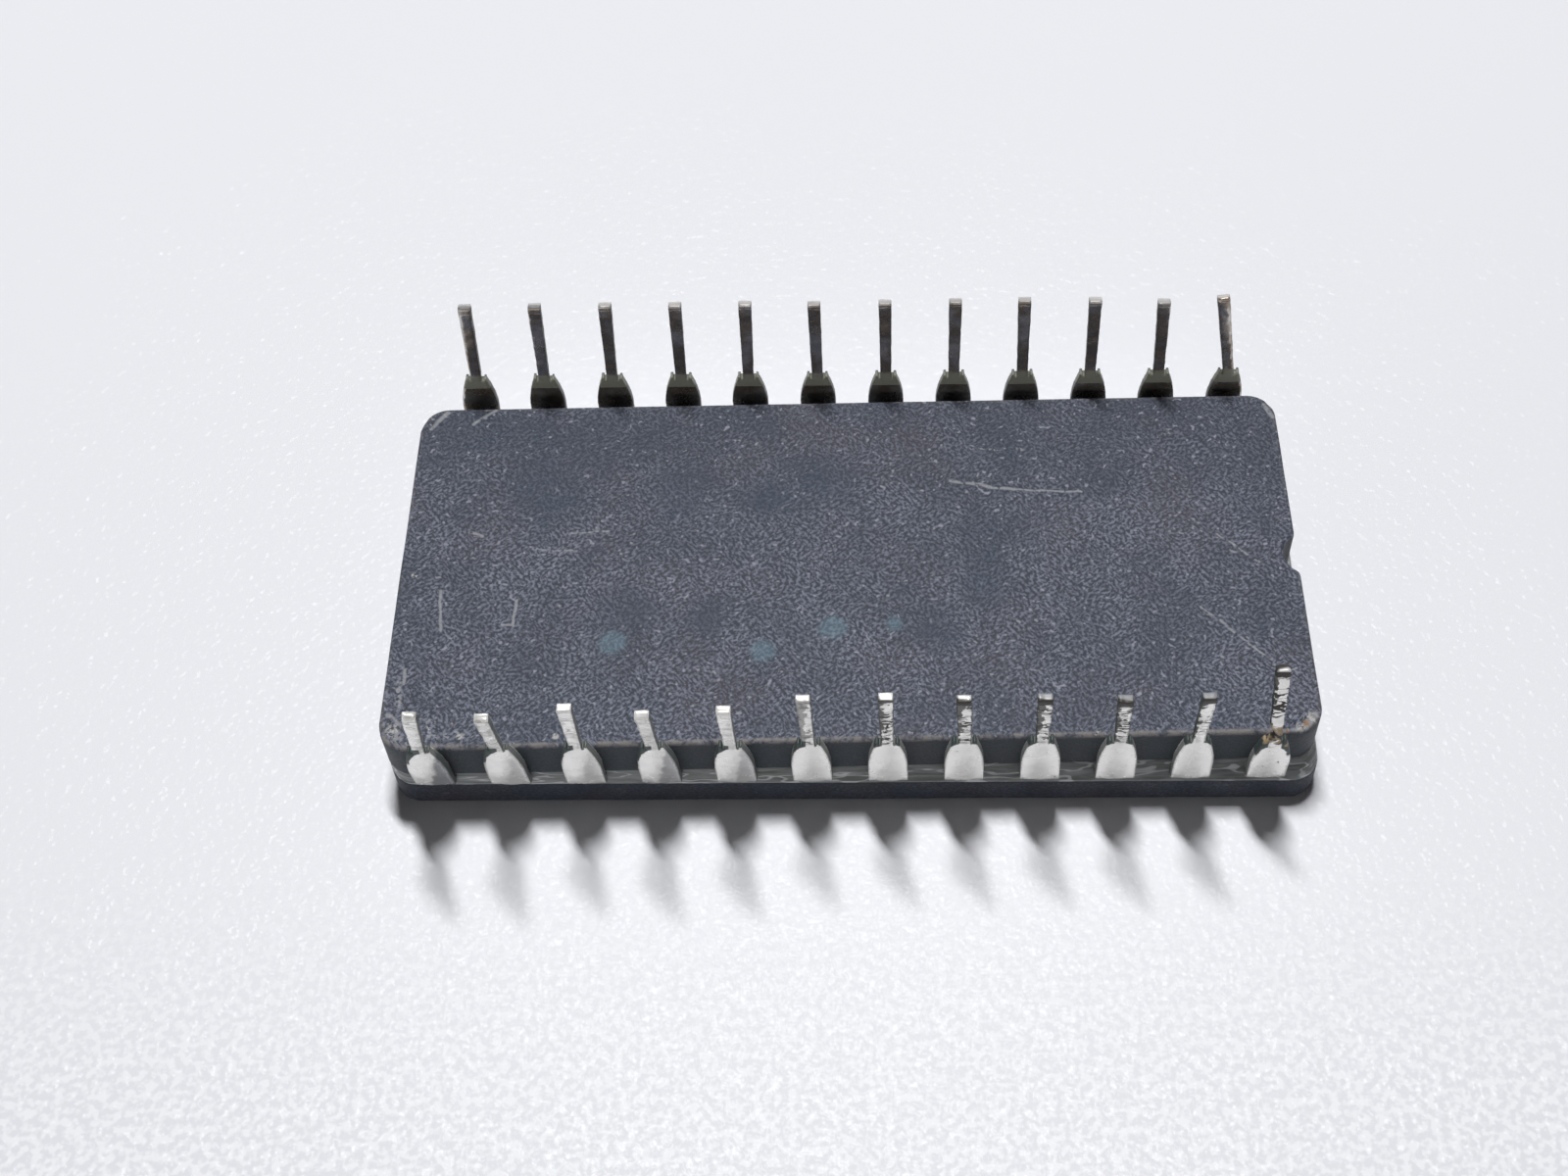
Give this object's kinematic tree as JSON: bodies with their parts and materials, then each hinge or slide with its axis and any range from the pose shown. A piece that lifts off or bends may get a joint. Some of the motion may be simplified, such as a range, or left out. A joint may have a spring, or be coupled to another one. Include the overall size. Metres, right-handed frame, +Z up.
{
  "type": "static memory chip",
  "caption": "Used ceramic dual in-line memory package lying on its lid, dark glass-sealed body with two rows of splayed tinned leads.",
  "frame": {"origin": "middle of the lead pattern on the plane of the cap's outer face, which the package rests on", "axes": "+X along the body towards the notched end, +Y across the body, +Z up, the way the leads point"},
  "size_m": [0.0319, 0.0173, 0.0077],
  "materials": {
    "ceramic": "dark slate pressed ceramic, matt, with fine pale flecks and worn edges",
    "seal_glass": "opaque dark grey-green sealing glass, glossy",
    "tin": "tin plating, bright with dull and corroded patches",
    "silicon": "polished silicon with aluminium pads",
    "die_bond": "silver-filled glass, matt",
    "aluminium": "drawn aluminium wire"
  },
  "bodies": {
    "root": {"ceramic_base": "ceramic", "ceramic_cap": "ceramic", "seal_glass": "seal_glass", "silicon_die": "silicon", "die_attach": "die_bond", "lead_01": "tin", "lead_02": "tin", "lead_03": "tin", "lead_04": "tin", "lead_05": "tin", "lead_06": "tin", "lead_07": "tin", "lead_08": "tin", "lead_09": "tin", "lead_10": "tin", "lead_11": "tin", "lead_12": "tin", "lead_13": "tin", "lead_14": "tin", "lead_15": "tin", "lead_16": "tin", "lead_17": "tin", "lead_18": "tin", "lead_19": "tin", "lead_20": "tin", "lead_21": "tin", "lead_22": "tin", "lead_23": "tin", "lead_24": "tin", "bond_wire_01": "aluminium", "bond_wire_02": "aluminium", "bond_wire_03": "aluminium", "bond_wire_04": "aluminium", "bond_wire_05": "aluminium", "bond_wire_06": "aluminium", "bond_wire_07": "aluminium", "bond_wire_08": "aluminium", "bond_wire_09": "aluminium", "bond_wire_10": "aluminium", "bond_wire_11": "aluminium", "bond_wire_12": "aluminium", "bond_wire_13": "aluminium", "bond_wire_14": "aluminium", "bond_wire_15": "aluminium", "bond_wire_16": "aluminium", "bond_wire_17": "aluminium", "bond_wire_18": "aluminium", "bond_wire_19": "aluminium", "bond_wire_20": "aluminium", "bond_wire_21": "aluminium", "bond_wire_22": "aluminium", "bond_wire_23": "aluminium", "bond_wire_24": "aluminium"}
  },
  "joints": []
}
